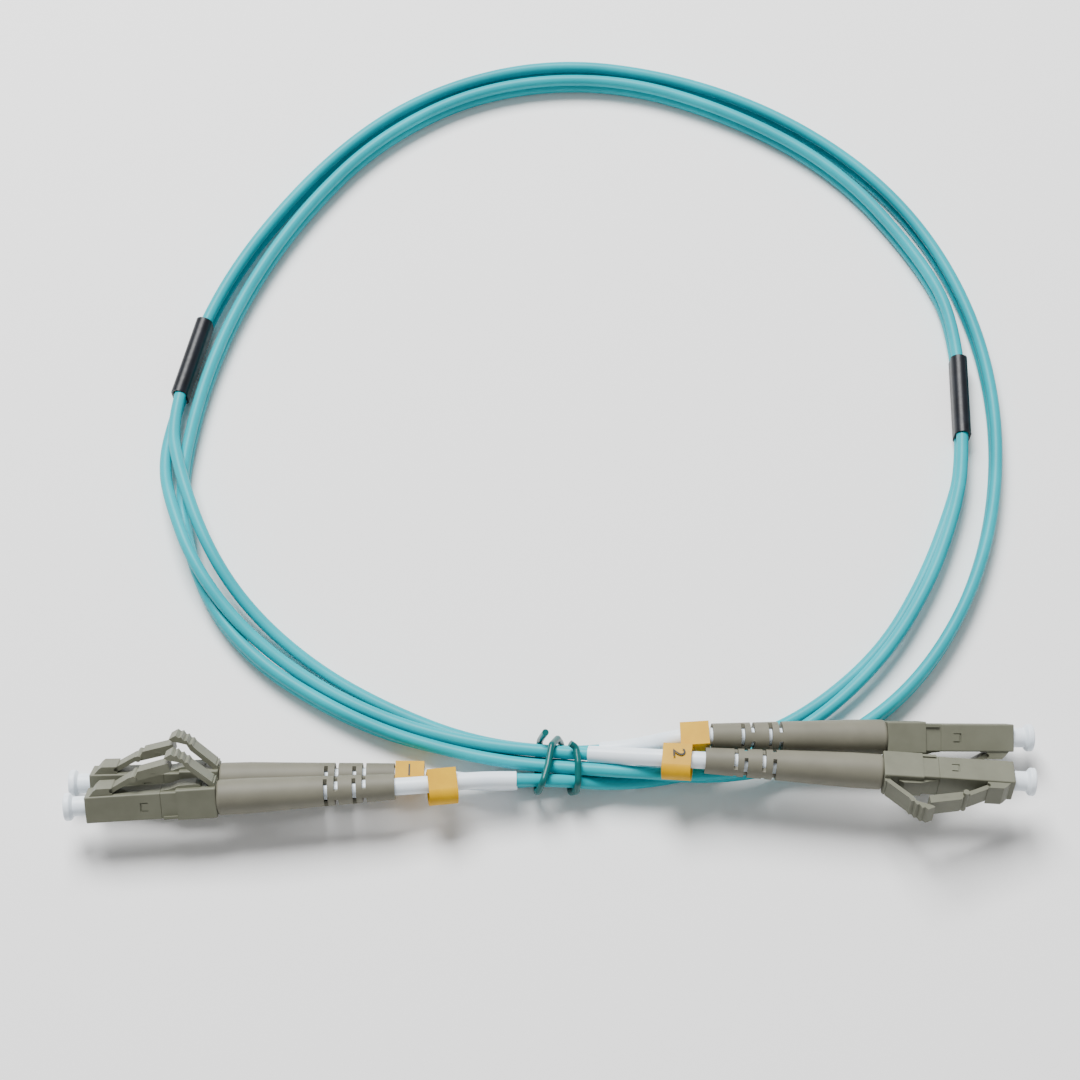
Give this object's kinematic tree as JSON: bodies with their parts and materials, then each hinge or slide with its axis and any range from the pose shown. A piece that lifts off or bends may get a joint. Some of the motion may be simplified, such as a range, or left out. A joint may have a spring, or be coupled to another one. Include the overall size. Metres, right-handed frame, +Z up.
{
  "type": "fiber optic patch cord",
  "caption": "Duplex LC fibre optic patch cord: aqua zip cord in a loose coil held by a green twist tie, with split ends, capped simplex plugs and marker rings.",
  "frame": {"origin": "centre of the bounding box, on the floor the cord lies on", "axes": "+X from the left plugs to the right plugs, +Y from the plugs to the far side of the coil, +Z up"},
  "size_m": [0.159, 0.1552, 0.0146],
  "materials": {
    "aqua_jacket": "smooth, slightly glossy",
    "black_shrink": "satin",
    "green_tie": "glossy",
    "steel": "brushed",
    "white_buffer": "smooth",
    "white_cap": "smooth",
    "ceramic": "polished zirconia",
    "beige_housing": "fine moulded texture",
    "beige_boot": "soft moulded texture",
    "white_sleeve": "smooth",
    "yellow_ring": "smooth"
  },
  "bodies": {
    "cord_and_plugs": {"zip_cord": "aqua_jacket", "strand_a": "aqua_jacket", "strand_b": "aqua_jacket", "strand_c": "aqua_jacket", "strand_d": "aqua_jacket", "heat_shrink_left": "black_shrink", "heat_shrink_right": "black_shrink", "twist_tie": "green_tie", "back_posts": "steel", "crimp_rings": "steel", "fibre_tails": "white_buffer", "left_front_spring": "steel", "left_front_front_housing": "beige_housing", "left_front_rear_body": "beige_housing", "left_front_boot": "beige_boot", "left_front_sleeve": "white_sleeve", "left_back_spring": "steel", "left_back_front_housing": "beige_housing", "left_back_rear_body": "beige_housing", "left_back_boot": "beige_boot", "left_back_sleeve": "white_sleeve", "right_front_spring": "steel", "right_front_front_housing": "beige_housing", "right_front_rear_body": "beige_housing", "right_front_boot": "beige_boot", "right_front_sleeve": "white_sleeve", "right_back_spring": "steel", "right_back_front_housing": "beige_housing", "right_back_rear_body": "beige_housing", "right_back_boot": "beige_boot", "right_back_sleeve": "white_sleeve"},
    "left_front_cap_body": {"left_front_dust_cap": "white_cap"},
    "left_front_ferrule_body": {"left_front_ferrule": "ceramic", "left_front_ferrule_flange": "steel"},
    "left_front_latch_body": {"left_front_latch_arm": "beige_housing"},
    "left_front_trigger_body": {"left_front_trigger": "beige_housing"},
    "left_front_ring_body": {"left_front_marker_ring": "yellow_ring"},
    "left_back_cap_body": {"left_back_dust_cap": "white_cap"},
    "left_back_ferrule_body": {"left_back_ferrule": "ceramic", "left_back_ferrule_flange": "steel"},
    "left_back_latch_body": {"left_back_latch_arm": "beige_housing"},
    "left_back_trigger_body": {"left_back_trigger": "beige_housing"},
    "left_back_ring_body": {"left_back_marker_ring": "yellow_ring"},
    "right_front_cap_body": {"right_front_dust_cap": "white_cap"},
    "right_front_ferrule_body": {"right_front_ferrule": "ceramic", "right_front_ferrule_flange": "steel"},
    "right_front_latch_body": {"right_front_latch_arm": "beige_housing"},
    "right_front_trigger_body": {"right_front_trigger": "beige_housing"},
    "right_front_ring_body": {"right_front_marker_ring": "yellow_ring"},
    "right_back_cap_body": {"right_back_dust_cap": "white_cap"},
    "right_back_ferrule_body": {"right_back_ferrule": "ceramic", "right_back_ferrule_flange": "steel"},
    "right_back_latch_body": {"right_back_latch_arm": "beige_housing"},
    "right_back_trigger_body": {"right_back_trigger": "beige_housing"},
    "right_back_ring_body": {"right_back_marker_ring": "yellow_ring"}
  },
  "joints": [
    {"name": "left_front_cap_pull", "type": "slide", "parent": "cord_and_plugs", "child": "left_front_cap_body", "axis": [-0.9979, -0.0644, 0], "range_m": [0, 0.008]},
    {"name": "left_front_ferrule_push", "type": "slide", "parent": "cord_and_plugs", "child": "left_front_ferrule_body", "axis": [0.9979, 0.0644, 0], "range_m": [0, 0.0008], "stiffness_N_per_m": 1500, "deforming": ["left_front_spring"]},
    {"name": "left_front_latch_flex", "type": "hinge", "parent": "cord_and_plugs", "child": "left_front_latch_body", "pos_m": [-0.07114, -0.07118, 0.0097], "axis": [-0.0414, 0.6415, -0.766], "range_deg": [0, 6.9], "stiffness_Nm_per_rad": 0.0008},
    {"name": "left_front_trigger_press", "type": "hinge", "parent": "cord_and_plugs", "child": "left_front_trigger_body", "pos_m": [-0.05549, -0.06997, 0.00986], "axis": [0.0414, -0.6415, 0.766], "range_deg": [0, 10], "stiffness_Nm_per_rad": 0.0008},
    {"name": "left_front_ring_slide", "type": "slide", "parent": "cord_and_plugs", "child": "left_front_ring_body", "axis": [0.9854, 0.1288, -0.1113], "range_m": [0, 0.0012]},
    {"name": "left_back_cap_pull", "type": "slide", "parent": "cord_and_plugs", "child": "left_back_cap_body", "axis": [-0.9997, -0.0224, -0.0061], "range_m": [0, 0.008]},
    {"name": "left_back_ferrule_push", "type": "slide", "parent": "cord_and_plugs", "child": "left_back_ferrule_body", "axis": [0.9997, 0.0224, 0.0061], "range_m": [0, 0.0008], "stiffness_N_per_m": 1500, "deforming": ["left_back_spring"]},
    {"name": "left_back_latch_flex", "type": "hinge", "parent": "cord_and_plugs", "child": "left_back_latch_body", "pos_m": [-0.07144, -0.06618, 0.00562], "axis": [-0.0097, 0.6427, -0.766], "range_deg": [0, 6.9], "stiffness_Nm_per_rad": 0.0008},
    {"name": "left_back_trigger_press", "type": "hinge", "parent": "cord_and_plugs", "child": "left_back_trigger_body", "pos_m": [-0.05575, -0.06564, 0.00588], "axis": [0.0097, -0.6427, 0.766], "range_deg": [0, 10], "stiffness_Nm_per_rad": 0.0008},
    {"name": "left_back_ring_slide", "type": "slide", "parent": "cord_and_plugs", "child": "left_back_ring_body", "axis": [0.9996, -0.0097, -0.0251], "range_m": [0, 0.0003]},
    {"name": "right_front_cap_pull", "type": "slide", "parent": "cord_and_plugs", "child": "right_front_cap_body", "axis": [0.9978, -0.0664, -0.007], "range_m": [0, 0.008]},
    {"name": "right_front_ferrule_push", "type": "slide", "parent": "cord_and_plugs", "child": "right_front_ferrule_body", "axis": [-0.9978, 0.0664, 0.007], "range_m": [0, 0.0008], "stiffness_N_per_m": 1500, "deforming": ["right_front_spring"]},
    {"name": "right_front_latch_flex", "type": "hinge", "parent": "cord_and_plugs", "child": "right_front_latch_body", "pos_m": [0.06903, -0.07247, 0.01049], "axis": [-0.0303, -0.3571, -0.9336], "range_deg": [0, 6.9], "stiffness_Nm_per_rad": 0.0008},
    {"name": "right_front_trigger_press", "type": "hinge", "parent": "cord_and_plugs", "child": "right_front_trigger_body", "pos_m": [0.05335, -0.07166, 0.01069], "axis": [0.0303, 0.3571, 0.9336], "range_deg": [0, 10], "stiffness_Nm_per_rad": 0.0008},
    {"name": "right_front_ring_slide", "type": "slide", "parent": "cord_and_plugs", "child": "right_front_ring_body", "axis": [-0.9839, 0.1109, -0.1403], "range_m": [0, 0.0004]},
    {"name": "right_back_cap_pull", "type": "slide", "parent": "cord_and_plugs", "child": "right_back_cap_body", "axis": [0.9973, 0.0203, -0.0701], "range_m": [0, 0.008]},
    {"name": "right_back_ferrule_push", "type": "slide", "parent": "cord_and_plugs", "child": "right_back_ferrule_body", "axis": [-0.9973, -0.0203, 0.0701], "range_m": [0, 0.0008], "stiffness_N_per_m": 1500, "deforming": ["right_back_spring"]},
    {"name": "right_back_latch_flex", "type": "hinge", "parent": "cord_and_plugs", "child": "right_back_latch_body", "pos_m": [0.07046, -0.06405, 0.00449], "axis": [-0.0726, 0.3732, -0.9249], "range_deg": [0, 6.9], "stiffness_Nm_per_rad": 0.0008},
    {"name": "right_back_trigger_press", "type": "hinge", "parent": "cord_and_plugs", "child": "right_back_trigger_body", "pos_m": [0.0548, -0.0646, 0.00549], "axis": [0.0726, -0.3732, 0.9249], "range_deg": [0, 10], "stiffness_Nm_per_rad": 0.0008},
    {"name": "right_back_ring_slide", "type": "slide", "parent": "cord_and_plugs", "child": "right_back_ring_body", "axis": [-0.9948, -0.0278, -0.0983], "range_m": [0, 0.0008]}
  ],
  "couplings": [
    {"joint": "left_front_latch_flex", "follows": "left_front_trigger_press", "ratio": 0.69},
    {"joint": "left_back_latch_flex", "follows": "left_back_trigger_press", "ratio": 0.69},
    {"joint": "right_front_latch_flex", "follows": "right_front_trigger_press", "ratio": 0.69},
    {"joint": "right_back_latch_flex", "follows": "right_back_trigger_press", "ratio": 0.69}
  ]
}
